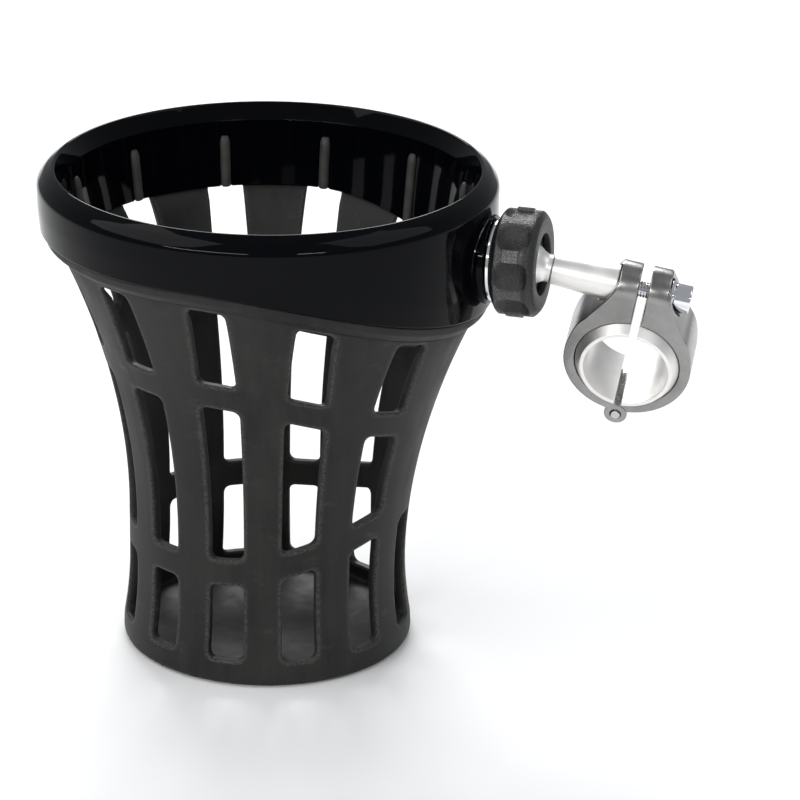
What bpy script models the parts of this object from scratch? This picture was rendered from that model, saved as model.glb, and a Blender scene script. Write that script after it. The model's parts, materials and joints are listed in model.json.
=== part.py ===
"""Cup holder that clamps to a handlebar: a slotted basket under a gloss trim ring, carried by a
ball joint with a hand knob, an arm, and a two-piece clamp that is hinged below the bar.

Lengths below are in millimetres and become metres when a mesh is made. The world origin is the
centre of the clamp's bore, +Z is up, and the cup's axis is vertical. Angles round the cup are
counted from the direction of the knob."""

import math

import bpy
from mathutils import Matrix, Vector

MM = 0.001
CLEARANCE = 0.3

# Where the assembly stands
BAR_HEADING = -13.0
BAR_PITCH = 19.5
CLAMP_ROLL = 10.75
KNOB_HEADING = -17.0
ARM_REACH = 36.0
SCREW_HEIGHT = 23.0
BALL_OFFSET = 79.5
BALL_DROP = 22.7

# Columns of slots, with a grip rib above each
COLUMNS = 12
COLUMN_STEP = 360.0 / COLUMNS

# Trim ring
LIP_RADIUS = 69.3
CROWN_RADIUS = 64.2
THROAT_RADIUS = 61.2
SKIRT_DEPTH = 18.0
SKIRT_DROP = 20.0
SKIRT_REACH = 97.0
SKIRT_INNER = 66.4
LINER_TOP = -8.5
LINER_LAP = 8.0
LINER_FOOT = 58.9
LINER_WALL = 1.4
KEYWAY_HALF_ANGLE = 1.75
KEYWAY_DEPTH = 0.7
KEYWAY_TOP = -9.3
PAD_RADIUS = 13.4
PAD_FACE = 69.8
PAD_BACK = 65.0
PAD_NOTCH_FOOT = -36.9
PAD_NOTCH_HALF_WIDTH = 14.0

# Basket
WAIST_RADIUS = 42.6
FLARE = 23.3
FLARE_LENGTH = 90.0
FLARE_POWER = 1.94
FOOT_FLARE = 2.1
FOOT_TOP = -125.0
FOOT_LENGTH = 22.0
FOOT_POWER = 1.9
BASE_HEIGHT = -151.6
BASE_ROUND = 4.4
FLOOR_HEIGHT = -148.6
WALL = 3.0
RIM_TOP = -9.3
RIM_RADIUS = 66.0
SHOULDER_RADIUS = 67.4
SLOT_TOP_LAP = 7.0
SLOT_HALF_ANGLE = 7.0
SLOT_TOP_HALF_ANGLE = 5.1
UPPER_SLOT_FOOT_HALF_ANGLE = 6.4
SLOT_CORNER_ANGLE = 5.0
SLOT_CORNER = 1.9
WEB_HALF_HEIGHT = 4.2
UPPER_WEB = -56.0
UPPER_WEB_DROP = 16.6
LOWER_WEB = -115.8
LOWER_WEB_RISE = 12.5
SLOT_FOOT = -143.6

# Grip ribs
RIB_HALF_WIDTH = 1.6
RIB_PROUD = 1.3
RIB_TOP = -10.0
RIB_TAIL = 8.2
KNOB_RIB_TAIL = 7.7

# Ball joint, along the knob's axis from the ball's centre
BALL_RADIUS = 7.0
SEAT_INNER = 7.2
SEAT_OUTER = 8.1
SEAT_HALF_ANGLE = 66.0
POCKET_RADIUS = 8.4
BARREL_RADIUS = 11.6
BARREL_END = 1.0
FLANGE_RADIUS = 12.4
FLANGE_BACK = -9.4
FLANGE_FRONT = -8.2
SOCKET_SCREWS = 4
SOCKET_SCREW_CIRCLE = 10.0
SOCKET_SCREW_RADIUS = 1.0
SOCKET_SCREW_HEAD = 1.8
SOCKET_SCREW_TIP = -3.5
COLLET_BACK = 1.3
COLLET_FRONT = 3.4
COLLET_RADIUS = 11.4
COLLET_LIP = 6.75
KNOB_BACK = -7.6
KNOB_FRONT = 5.6
KNOB_STEP = 3.7
KNOB_BORE = 11.9
KNOB_MOUTH = 9.3
KNOB_LOBES = 8
KNOB_PHASE = 21.0
KNOB_CREST = 16.4
KNOB_VALLEY = 14.4

# Arm, along its own axis from the ball's centre
NECK_RADIUS = 4.2
NECK_PLACE = 8.0
ROD_END_RADIUS = 5.7
ARM_BORE_RADIUS = 2.8
ARM_BORE_DEPTH = 12.0

# Clamp: x along the pinch screw, y along the bar, z towards the ears
JAW_BORE = 15.9
JAW_RADIUS = 19.2
JAW_HALF_WIDTH = 8.0
EAR_RADIUS = 7.7
EAR_GAP = 1.5
EAR_FACE = 7.6
EAR_OUTLINE = ((7.6, 32.0), (7.6, 28.0), (8.6, 25.2), (10.4, 21.4), (12.8, 17.4), (15.2, 13.4))
OUTLINE_START = 34.0
HINGE_DROP = 20.6
KNUCKLE_RADIUS = 3.5
KNUCKLE_HALF_WIDTH = 2.9
PIN_RADIUS = 1.5
LINER_BORE = 12.7
LINER_OUTER = 15.6
LINER_HALF_WIDTH = 11.0
LINER_TIP = 13.9
LINER_GAP = 1.1
SCREW_RADIUS = 2.5
SCREW_HOLE = 3.3
SCREW_HEAD_RADIUS = 4.25
SCREW_HEAD_START = 9.3
SCREW_HEAD_END = 14.3
SCREW_TIP = -17.0
HEX_RADIUS = 2.3
HEX_DEPTH = 2.5
WASHER_START = 7.9
WASHER_END = 9.0
WASHER_RADIUS = 4.8


def clear_scene():
    for old in list(bpy.data.objects):
        bpy.data.objects.remove(old)


def material(name, color, roughness, metallic):
    made = bpy.data.materials.new(name)
    made.use_nodes = True
    shader = made.node_tree.nodes["Principled BSDF"]
    shader.inputs["Base Color"].default_value = (*color, 1.0)
    shader.inputs["Roughness"].default_value = roughness
    shader.inputs["Metallic"].default_value = metallic
    return made


def turn(axis, degrees):
    return Matrix.Rotation(math.radians(degrees), 4, axis)


def shift(x, y, z):
    return Matrix.Translation(Vector((x, y, z)) * MM)


def frames():
    """The placement matrix of each group of pieces, worked out from the bore outwards."""
    clamp = turn("Z", BAR_HEADING) @ turn("X", BAR_PITCH) @ turn("Y", CLAMP_ROLL)
    heading = turn("Z", KNOB_HEADING)
    along_x = turn("Y", 90.0)
    ball = clamp @ shift(-ARM_REACH, 0.0, SCREW_HEIGHT)
    centre = Matrix.Translation(ball.to_translation())
    return {
        "clamp": clamp,
        "screw": clamp @ shift(0.0, 0.0, SCREW_HEIGHT) @ along_x,
        "hinge": clamp @ shift(0.0, 0.0, -HINGE_DROP),
        "arm": ball @ along_x,
        "knob": centre @ heading @ along_x,
        "cup": centre @ heading @ shift(-BALL_OFFSET, 0.0, BALL_DROP),
    }


def body(name, points, faces, placed, look, smooth_angle=35.0):
    """A named object from points in millimetres, with every face turned outwards."""
    mesh = bpy.data.meshes.new(name)
    mesh.from_pydata([Vector(point) * MM for point in points], [], faces)
    mesh.shade_smooth()
    mesh.set_sharp_from_angle(angle=math.radians(smooth_angle))
    made = bpy.data.objects.new(name, mesh)
    made.data.materials.append(look)
    made.matrix_world = placed
    bpy.context.collection.objects.link(made)
    return made


def cutter(name, points, faces, placed, look):
    made = body(name, points, faces, placed, look)
    made.hide_render = True
    made.display_type = "WIRE"
    return made


def combine(target, other, operation):
    step = target.modifiers.new(other.name, "BOOLEAN")
    step.operation = operation
    step.solver = "EXACT"
    step.object = other


def lathe(profile, segments):
    """Points and faces of a closed (radius, z) profile turned about Z. It starts and ends on the
    axis, or it is a loop that stays clear of the axis. It runs upwards on its outer side."""
    on_axis = profile[0][0] == 0.0
    inner = profile[1:-1] if on_axis else profile
    points = []
    for radius, z in inner:
        for k in range(segments):
            angle = 2.0 * math.pi * k / segments
            points.append((radius * math.cos(angle), radius * math.sin(angle), z))
    faces = []
    rows = len(inner)
    for row in range(rows - 1 if on_axis else rows):
        low = row * segments
        high = (row + 1) % rows * segments
        for k in range(segments):
            after = (k + 1) % segments
            faces.append((low + k, low + after, high + after, high + k))
    if on_axis:
        bottom = len(points)
        points.append((0.0, 0.0, profile[0][1]))
        points.append((0.0, 0.0, profile[-1][1]))
        last = (rows - 1) * segments
        for k in range(segments):
            after = (k + 1) % segments
            faces.append((bottom, after, k))
            faces.append((bottom + 1, last + k, last + after))
    return points, faces


def rod(radius, start, end, segments=24):
    return lathe([(0.0, start), (radius, start), (radius, end), (0.0, end)], segments)


def stack(sections):
    """A closed skin over a pile of like-ordered sections, capped at both ends. Each section runs
    anticlockwise as seen from the last one."""
    size = len(sections[0])
    points = [point for section in sections for point in section]
    faces = [tuple(reversed(range(size)))]
    for level in range(len(sections) - 1):
        low = level * size
        high = low + size
        for k in range(size):
            after = (k + 1) % size
            faces.append((low + k, low + after, high + after, high + k))
    faces.append(tuple(range(len(points) - size, len(points))))
    return points, faces


def prism(outline, start, end):
    """An (x, z) outline, anticlockwise as seen from -Y, pushed along Y from start to end."""
    return stack([[(x, y, z) for x, z in outline] for y in (end, start)])


def arc(radius, start, end, steps, centre=(0.0, 0.0)):
    points = []
    for k in range(steps + 1):
        angle = math.radians(start + (end - start) * k / steps)
        points.append((centre[0] + radius * math.cos(angle), centre[1] + radius * math.sin(angle)))
    return points


# The cup

def knob_side(angle):
    """1 in line with the knob, easing to 0 at SKIRT_REACH to either side of it."""
    away = abs((angle + 180.0) % 360.0 - 180.0)
    if away >= SKIRT_REACH:
        return 0.0
    return 0.5 + 0.5 * math.cos(math.pi * away / SKIRT_REACH)


def skirt_edge(angle):
    return -SKIRT_DEPTH - SKIRT_DROP * knob_side(angle)


def wall_radius(angle, z):
    depth = skirt_edge(angle) - z
    flare = FLARE * max(0.0, 1.0 - depth / FLARE_LENGTH) ** FLARE_POWER
    foot = FOOT_FLARE * max(0.0, (FOOT_TOP - z) / FOOT_LENGTH) ** FOOT_POWER
    return WAIST_RADIUS + flare + foot


def throat_radius(angle, z):
    """Radius of the gloss wall inside the ring, which narrows to its foot."""
    foot = skirt_edge(angle) - LINER_LAP
    share = (LINER_TOP - z) / (LINER_TOP - foot)
    return THROAT_RADIUS + (LINER_FOOT - THROAT_RADIUS) * min(1.0, max(0.0, share))


def round_the_cup(angle, radius, z):
    return (radius * math.cos(math.radians(angle)), radius * math.sin(math.radians(angle)), z)


def ring_section(angle, in_keyway):
    """The trim ring's section as a loop of (radius, z), up the outer side and down the throat."""
    edge = skirt_edge(angle)
    foot = edge - LINER_LAP
    key = KEYWAY_DEPTH if in_keyway else 0.0
    section = [(SKIRT_INNER, edge), (67.8, edge), (68.6, edge + 0.8), (69.1, edge + 6.0)]
    section += [(LIP_RADIUS, -9.5), (69.0, -5.4), (68.0, -2.9), (66.4, -1.0), (CROWN_RADIUS, 0.0)]
    section += [(62.9, -0.9), (61.9, -2.9), (61.4, -5.4), (THROAT_RADIUS, LINER_TOP)]
    section.append((throat_radius(angle, KEYWAY_TOP + 0.2), KEYWAY_TOP + 0.2))
    for z in (KEYWAY_TOP, 0.5 * (KEYWAY_TOP + foot), foot):
        section.append((throat_radius(angle, z) + key, z))
    section.append((throat_radius(angle, foot) + LINER_WALL, foot))
    section += [(throat_radius(angle, LINER_TOP) + LINER_WALL, LINER_TOP), (SKIRT_INNER, LINER_TOP)]
    return section


def make_trim_ring(placed, knob_placed, look):
    keyway = KEYWAY_HALF_ANGLE
    offsets = (-15.0, -8.5, -keyway - 0.2, -keyway, keyway, keyway + 0.2, 8.5)
    points = []
    columns = 0
    for column in range(COLUMNS):
        for offset in offsets:
            angle = column * COLUMN_STEP + offset
            section = ring_section(angle, abs(offset) <= keyway)
            points += [round_the_cup(angle, radius, z) for radius, z in section]
            columns += 1
    size = len(section)
    faces = []
    for column in range(columns):
        here = column * size
        there = (column + 1) % columns * size
        for k in range(size):
            after = (k + 1) % size
            faces.append((here + k, there + k, there + after, here + after))
    ring = body("trim_ring", points, faces, placed, look)
    back = PAD_BACK - BALL_OFFSET
    face = PAD_FACE - BALL_OFFSET
    combine(ring, cutter("pad_shape", *rod(PAD_RADIUS, back, face, 32), knob_placed, look), "UNION")
    for k, spot in enumerate(socket_screw_places(knob_placed)):
        hole = [(0.0, back - 1.0), (SOCKET_SCREW_HEAD + CLEARANCE, back - 1.0)]
        hole += [(SOCKET_SCREW_HEAD + CLEARANCE, back + 1.9), (SOCKET_SCREW_RADIUS + CLEARANCE, back + 1.9)]
        hole += [(SOCKET_SCREW_RADIUS + CLEARANCE, face + 1.0), (0.0, face + 1.0)]
        combine(ring, cutter("pad_hole_%d" % k, *lathe(hole, 12), spot, look), "DIFFERENCE")


def basket_rows(angle):
    """Each row of the basket's wall as its outer and inner (radius, z), from the rim down, and the
    places in that list where slots start and stop."""
    edge = skirt_edge(angle)
    side = knob_side(angle)
    upper = UPPER_WEB - UPPER_WEB_DROP * side
    lower = LOWER_WEB + LOWER_WEB_RISE * side
    behind = LINER_WALL + 0.5
    rows = []
    for radius, z in ((RIM_RADIUS, RIM_TOP), (RIM_RADIUS, edge - 0.3), (SHOULDER_RADIUS, edge - 0.31),
                      (SHOULDER_RADIUS, edge - 1.3), (64.1, edge - 4.9), (63.0, edge - 5.3)):
        rows.append(((radius, z), (throat_radius(angle, z) + behind, z)))
    top = edge - SLOT_TOP_LAP
    foot = edge - LINER_LAP - CLEARANCE
    rows.append(((wall_radius(angle, top), top), (LINER_FOOT + behind, foot)))
    marks = [len(rows) - 1]
    spans = ((top, upper + WEB_HALF_HEIGHT, 3), (upper - WEB_HALF_HEIGHT, lower + WEB_HALF_HEIGHT, 4),
             (lower - WEB_HALF_HEIGHT, SLOT_FOOT, 1))
    for number, (high, low, steps) in enumerate(spans):
        levels = [high - SLOT_CORNER]
        if number:
            levels.insert(0, high)
            marks.append(len(rows))
        run = (high - SLOT_CORNER) - (low + SLOT_CORNER)
        levels += [high - SLOT_CORNER - run * k / steps for k in range(1, steps + 1)]
        levels.append(low)
        for z in levels:
            outer = wall_radius(angle, z)
            rows.append(((outer, z), (outer - WALL, z)))
        marks.append(len(rows) - 1)
    foot_radius = WAIST_RADIUS + FOOT_FLARE
    bend = BASE_HEIGHT + BASE_ROUND
    for k in range(4):
        turned = math.radians(30.0 * k)
        outer = (foot_radius - BASE_ROUND * (1.0 - math.cos(turned)), bend - BASE_ROUND * math.sin(turned))
        inner = (foot_radius - WALL - 2.0 * (1.0 - math.cos(turned)), FLOOR_HEIGHT + 2.0 - 2.0 * math.sin(turned))
        rows.append((outer, inner))
    return rows, marks


def slot_narrowing(row, marks):
    """How much of SLOT_HALF_ANGLE the slots take at a row: less where the wall flares out."""
    top, foot = marks[0], marks[1]
    if not top <= row <= foot:
        return 1.0
    half = SLOT_TOP_HALF_ANGLE
    half += (UPPER_SLOT_FOOT_HALF_ANGLE - SLOT_TOP_HALF_ANGLE) * (row - top) / (foot - top)
    return half / SLOT_HALF_ANGLE


def slot_corner(row, offset, next_offset, marks, column):
    """What a cell of the wall holds: "solid", "open", or the corner of it that stays solid."""
    mid = 0.5 * (offset + next_offset)
    if abs(mid) > SLOT_HALF_ANGLE:
        return "solid"
    for start, stop in zip(marks[0::2], marks[1::2]):
        if not start <= row < stop or (column == 0 and stop != marks[-1]):
            continue
        if abs(mid) < SLOT_CORNER_ANGLE or start < row < stop - 1:
            return "open"
        return ("top" if row == start else "bottom") + ("_first" if mid < 0.0 else "_last")
    return "solid"


def make_basket(placed, look):
    corner = SLOT_CORNER_ANGLE
    offsets = (-15.0, -SLOT_HALF_ANGLE, -corner, corner, SLOT_HALF_ANGLE)
    rows, marks = basket_rows(0.0)
    size = len(rows)
    outside = []
    inside = []
    for column in range(COLUMNS):
        for offset in offsets:
            for row in range(size):
                spread = slot_narrowing(row, marks) if offset != offsets[0] else 1.0
                angle = column * COLUMN_STEP + offset * spread
                outer, inner = basket_rows(angle)[0][row]
                outside.append(round_the_cup(angle, *outer))
                inside.append(round_the_cup(angle, *inner))
    count = len(outside)
    skin = []
    for number in range(COLUMNS * len(offsets)):
        column, place = divmod(number, len(offsets))
        end = offsets[place + 1] if place + 1 < len(offsets) else COLUMN_STEP + offsets[0]
        here = number * size
        there = (number + 1) % (COLUMNS * len(offsets)) * size
        for row in range(size - 1):
            held = slot_corner(row, offsets[place], end, marks, column)
            cell = {"top_first": here + row, "top_last": there + row,
                    "bottom_last": there + row + 1, "bottom_first": here + row + 1}
            if held == "solid":
                skin.append((here + row, here + row + 1, there + row + 1, there + row))
            elif held != "open":
                loop = [here + row, here + row + 1, there + row + 1, there + row]
                k = loop.index(cell[held])
                skin.append((loop[k - 1], loop[k], loop[(k + 1) % 4]))
    skin.append(tuple(k * size + size - 1 for k in reversed(range(COLUMNS * len(offsets)))))
    edges = {(face[k], face[(k + 1) % len(face)]) for face in skin for k in range(len(face))}
    faces = list(skin)
    faces += [tuple(count + k for k in reversed(face)) for face in skin]
    faces += [(end, start, count + start, count + end) for start, end in edges if (end, start) not in edges]
    basket = body("basket", outside + inside, sorted(faces), placed, look)
    foot = PAD_NOTCH_FOOT
    side = PAD_NOTCH_HALF_WIDTH
    notch = prism([(50.0, foot), (70.0, foot), (70.0, 0.0), (50.0, 0.0)], -side, side)
    combine(basket, cutter("pad_notch", *notch, placed, look), "DIFFERENCE")


def make_grip_rib(number, placed, look):
    """A half-round rubber rib that stands in a keyway of the throat. It reaches down into the slot
    below it, except at the knob, where the wall has no slot."""
    angle = (number - 1) * COLUMN_STEP
    foot = skirt_edge(angle) - (RIB_TAIL if number > 1 else KNOB_RIB_TAIL)
    levels = [(RIB_TOP, 0.25), (RIB_TOP - 0.5, 0.7), (RIB_TOP - 1.6, 1.0), (0.5 * (RIB_TOP + foot), 1.0)]
    levels += [(foot + 0.8, 1.0), (foot, 0.6)]
    sections = []
    for z, share in reversed(levels):
        wall = throat_radius(angle, z)
        back = wall + KEYWAY_DEPTH - CLEARANCE
        half = RIB_HALF_WIDTH * (0.55 + 0.45 * share)
        section = [(back, -half), (back, half)]
        for degrees in (0.0, 30.0, 60.0, 90.0, 120.0, 150.0, 180.0):
            bow = math.radians(degrees)
            section.append((wall - RIB_PROUD * share * math.sin(bow), half * math.cos(bow)))
        sections.append([(x, y, z) for x, y in section])
    points, faces = stack(sections)
    body("grip_rib_%02d" % number, points, faces, placed @ turn("Z", angle), look)


# The ball joint

def sphere_profile(radius, start, end, steps):
    """(radius, z) points on a sphere, by the angle from its -Z pole."""
    points = []
    for k in range(steps + 1):
        angle = math.radians(start + (end - start) * k / steps)
        points.append((radius * math.sin(angle), -radius * math.cos(angle)))
    return points


def socket_screw_places(knob_placed):
    places = []
    for k in range(SOCKET_SCREWS):
        angle = math.radians(45.0 + 360.0 * k / SOCKET_SCREWS)
        spot = (SOCKET_SCREW_CIRCLE * math.cos(angle), SOCKET_SCREW_CIRCLE * math.sin(angle), 0.0)
        places.append(knob_placed @ shift(*spot))
    return places


def make_socket(placed, steel, chrome):
    pocket = sphere_profile(POCKET_RADIUS, 0.0, 90.0, 6)
    profile = [(0.0, FLANGE_BACK), (FLANGE_RADIUS, FLANGE_BACK), (FLANGE_RADIUS, FLANGE_FRONT)]
    profile += [(BARREL_RADIUS, FLANGE_FRONT), (BARREL_RADIUS, BARREL_END - 0.6)]
    profile += [(BARREL_RADIUS - 0.6, BARREL_END), (POCKET_RADIUS, BARREL_END)]
    profile += [(radius, z) for radius, z in reversed(pocket)]
    profile[-1] = (0.0, -POCKET_RADIUS)
    socket = body("socket_body", *lathe(profile, 32), placed, chrome)
    back = PAD_BACK - BALL_OFFSET
    for k, spot in enumerate(socket_screw_places(placed)):
        hole = rod(SOCKET_SCREW_RADIUS + 0.25, FLANGE_BACK - 1.0, SOCKET_SCREW_TIP + 0.5, 12)
        combine(socket, cutter("socket_hole_%d" % k, *hole, spot, chrome), "DIFFERENCE")
        head = [(0.0, back + 0.3), (SOCKET_SCREW_HEAD, back + 0.3), (SOCKET_SCREW_HEAD, back + 1.6)]
        head += [(SOCKET_SCREW_RADIUS, back + 1.6), (SOCKET_SCREW_RADIUS, SOCKET_SCREW_TIP)]
        head += [(0.0, SOCKET_SCREW_TIP)]
        body("socket_screw_%d" % (k + 1), *lathe(head, 12), spot, steel)


def make_ball_seat(placed, look):
    outer = sphere_profile(SEAT_OUTER, 0.0, SEAT_HALF_ANGLE, 5)
    inner = sphere_profile(SEAT_INNER, 0.0, SEAT_HALF_ANGLE, 5)
    profile = outer + list(reversed(inner))
    body("ball_seat", *lathe(profile, 24), placed, look)


def make_compression_ring(placed, look):
    loop = [(COLLET_RADIUS, COLLET_BACK), (COLLET_RADIUS, COLLET_FRONT), (COLLET_LIP, COLLET_FRONT)]
    loop += [(7.2, 2.4), (7.45, COLLET_BACK)]
    body("compression_ring", *lathe(loop, 32), placed, look)


def make_knob(placed, look):
    segments = KNOB_LOBES * 6
    profile = [(0.0, KNOB_BACK), (0.0, KNOB_BACK + 1.6), (0.0, KNOB_FRONT - 1.8), (0.0, KNOB_FRONT)]
    waves = [0.5 + 0.5 * math.cos(2.0 * math.pi * (k % 6) / 6) for k in range(segments)]
    inset = (1.9, 0.0, 0.0, 1.7)
    rings = []
    for (start, z), cut in zip(profile, inset):
        grip = [KNOB_VALLEY + (KNOB_CREST - KNOB_VALLEY) * min(1.0, 1.5 * wave) - cut for wave in waves]
        rings.append([(radius, z) for radius in grip])
    for radius, z in ((KNOB_MOUTH, KNOB_FRONT), (KNOB_MOUTH, KNOB_STEP), (KNOB_BORE, KNOB_STEP),
                      (KNOB_BORE, KNOB_BACK)):
        rings.append([(radius, z)] * segments)
    points = []
    for ring in rings:
        for k, (radius, z) in enumerate(ring):
            angle = math.radians(KNOB_PHASE) + 2.0 * math.pi * k / segments
            points.append((radius * math.cos(angle), radius * math.sin(angle), z))
    faces = []
    for row in range(len(rings)):
        low = row * segments
        high = (row + 1) % len(rings) * segments
        for k in range(segments):
            after = (k + 1) % segments
            faces.append((low + k, low + after, high + after, high + k))
    body("knob", points, faces, placed, look)


# The arm and the clamp

def make_arm(placed, look):
    end = ARM_REACH - EAR_FACE - CLEARANCE
    profile = sphere_profile(BALL_RADIUS, 0.0, 141.0, 11)
    profile += [(4.3, 6.3), (NECK_RADIUS, 7.2), (NECK_RADIUS, NECK_PLACE), (4.4, 8.8), (5.3, 21.0)]
    profile += [(ROD_END_RADIUS, end - 0.4), (ROD_END_RADIUS - 0.4, end), (ARM_BORE_RADIUS, end)]
    profile += [(ARM_BORE_RADIUS, end - ARM_BORE_DEPTH), (0.0, end - ARM_BORE_DEPTH - 1.2)]
    body("arm", *lathe(profile, 28), placed, look)


def jaw_outline():
    """The right-hand jaw seen along the bar: ear, outer curve, foot and bore."""
    start = math.degrees(math.acos(EAR_GAP / JAW_BORE))
    stop = -90.0 + math.degrees(math.asin(0.6 / JAW_BORE))
    outline = list(reversed(EAR_OUTLINE)) + [(EAR_GAP, EAR_OUTLINE[0][1])]
    outline += arc(JAW_BORE, start, stop, 20)
    outline += arc(JAW_RADIUS, -88.2, OUTLINE_START, 16)
    return outline


def make_jaw(name, side, placed, look):
    """side is 1 for the swinging jaw and -1 for the fixed one, its mirror image. The fixed jaw has
    the two outer knuckles of the hinge, and the swinging jaw has the middle one."""
    outline = [(side * x, z) for x, z in jaw_outline()]
    if side < 0:
        outline.reverse()
    jaw = body(name, *prism(outline, -JAW_HALF_WIDTH, JAW_HALF_WIDTH), placed, look)
    tab = arc(EAR_RADIUS, 0.0, 180.0, 14, (0.0, SCREW_HEIGHT)) + [(-8.5, 10.0), (-8.5, -26.0)]
    tab += [(8.5, -26.0), (8.5, 10.0)]
    points, faces = prism(tab, -24.0, 24.0)
    combine(jaw, cutter(name + "_tab", points, faces, placed @ turn("Z", 90.0), look), "INTERSECT")
    hinge = placed @ shift(0.0, 0.0, -HINGE_DROP) @ turn("X", 90.0)
    half = JAW_HALF_WIDTH
    inner = KNUCKLE_HALF_WIDTH
    joint = inner + 0.5 * CLEARANCE
    own = [(-inner, inner)]
    other = [(-half - 1.0, -joint), (joint, half + 1.0)]
    if side < 0:
        own = [(0.2 - half, -inner - CLEARANCE), (inner + CLEARANCE, half - 0.2)]
        other = [(-joint, joint)]
    for k, (start, end) in enumerate(other):
        space = rod(KNUCKLE_RADIUS + CLEARANCE, start, end, 24)
        combine(jaw, cutter("%s_space_%d" % (name, k), *space, hinge, look), "DIFFERENCE")
    for k, (start, end) in enumerate(own):
        knuckle = rod(KNUCKLE_RADIUS, start, end, 24)
        combine(jaw, cutter("%s_knuckle_%d" % (name, k), *knuckle, hinge, look), "UNION")
    pin = rod(PIN_RADIUS + CLEARANCE, -half - 1.0, half + 1.0, 16)
    combine(jaw, cutter(name + "_pin_hole", *pin, hinge, look), "DIFFERENCE")
    pocket_radius = WASHER_RADIUS + 0.6 if side > 0 else ROD_END_RADIUS + 0.4
    start, end = sorted((side * EAR_FACE, side * 24.0))
    screw = placed @ shift(0.0, 0.0, SCREW_HEIGHT) @ turn("Y", 90.0)
    pocket = cutter(name + "_pocket", *rod(pocket_radius, start, end, 32), screw, look)
    combine(jaw, pocket, "DIFFERENCE")
    hole = cutter(name + "_screw_hole", *rod(SCREW_HOLE, -24.0, 24.0, 24), screw, look)
    combine(jaw, hole, "DIFFERENCE")


def make_hinge_pin(placed, look):
    half = JAW_HALF_WIDTH + 0.4
    body("hinge_pin", *rod(PIN_RADIUS, -half, half, 16), placed @ turn("X", 90.0), look)


def make_liner(name, side, placed, look):
    """Half of the sleeve that brings the clamp's bore down to the bar, with tapered ends."""
    start = math.degrees(math.asin(LINER_GAP / LINER_BORE))
    sections = []
    for y, outer in ((LINER_HALF_WIDTH, LINER_TIP), (JAW_HALF_WIDTH + 0.5, LINER_OUTER - 0.3),
                     (JAW_HALF_WIDTH, LINER_OUTER), (-JAW_HALF_WIDTH, LINER_OUTER),
                     (-JAW_HALF_WIDTH - 0.5, LINER_OUTER - 0.3), (-LINER_HALF_WIDTH, LINER_TIP)):
        loop = arc(outer, -90.0 + start, 90.0 - start, 20) + arc(LINER_BORE, 90.0 - start, -90.0 + start, 20)
        if side < 0:
            loop = [(-x, z) for x, z in reversed(loop)]
        sections.append([(x, y, z) for x, z in loop])
    body(name, *stack(sections), placed, look)


def make_pinch_screw(placed, look):
    head = SCREW_HEAD_RADIUS
    profile = [(0.0, SCREW_TIP), (SCREW_RADIUS - 0.5, SCREW_TIP), (SCREW_RADIUS, SCREW_TIP + 0.5)]
    profile += [(SCREW_RADIUS, SCREW_HEAD_START), (head, SCREW_HEAD_START), (head, SCREW_HEAD_END - 0.4)]
    profile += [(head - 0.4, SCREW_HEAD_END), (0.0, SCREW_HEAD_END)]
    screw = body("pinch_screw", *lathe(profile, 32), placed, look)
    socket = rod(HEX_RADIUS, SCREW_HEAD_END - HEX_DEPTH, SCREW_HEAD_END + 1.0, 6)
    combine(screw, cutter("hex_socket", *socket, placed, look), "DIFFERENCE")


def make_lock_washer(placed, look):
    hole = SCREW_RADIUS + CLEARANCE
    loop = [(WASHER_RADIUS, WASHER_START), (WASHER_RADIUS, WASHER_END), (hole, WASHER_END), (hole, WASHER_START)]
    body("lock_washer", *lathe(loop, 32), placed, look)


def main():
    clear_scene()
    placed = frames()
    gloss = material("gloss_black", (0.008, 0.008, 0.010), 0.08, 0.0)
    matte = material("matte_black", (0.022, 0.022, 0.021), 0.55, 0.0)
    rubber = material("rib_rubber", (0.030, 0.030, 0.029), 0.65, 0.0)
    grain = material("knob_grain", (0.018, 0.018, 0.019), 0.50, 0.0)
    satin = material("satin_aluminium", (0.72, 0.70, 0.67), 0.32, 1.0)
    pearl = material("pearl_aluminium", (0.42, 0.41, 0.40), 0.34, 1.0)
    chrome = material("chrome", (0.85, 0.86, 0.88), 0.06, 1.0)
    steel = material("steel", (0.55, 0.55, 0.56), 0.25, 1.0)
    nylon = material("nylon", (0.75, 0.74, 0.70), 0.45, 0.0)

    make_trim_ring(placed["cup"], placed["knob"], gloss)
    make_basket(placed["cup"], matte)
    for number in range(1, COLUMNS + 1):
        make_grip_rib(number, placed["cup"], rubber)
    make_socket(placed["knob"], steel, chrome)
    make_ball_seat(placed["knob"], nylon)
    make_compression_ring(placed["knob"], matte)
    make_knob(placed["knob"], grain)
    make_arm(placed["arm"], satin)
    make_jaw("fixed_jaw", -1, placed["clamp"], pearl)
    make_jaw("swing_jaw", 1, placed["clamp"], pearl)
    make_hinge_pin(placed["hinge"], steel)
    make_liner("fixed_liner", -1, placed["clamp"], satin)
    make_liner("swing_liner", 1, placed["clamp"], satin)
    make_pinch_screw(placed["screw"], chrome)
    make_lock_washer(placed["screw"], chrome)


main()
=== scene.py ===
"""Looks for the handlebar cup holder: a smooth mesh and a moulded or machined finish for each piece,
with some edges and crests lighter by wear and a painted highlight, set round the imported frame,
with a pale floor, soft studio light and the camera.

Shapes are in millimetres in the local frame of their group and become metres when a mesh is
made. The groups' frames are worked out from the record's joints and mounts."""

import json
import math

import bmesh
import bpy
from mathutils import Matrix, Vector


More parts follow.
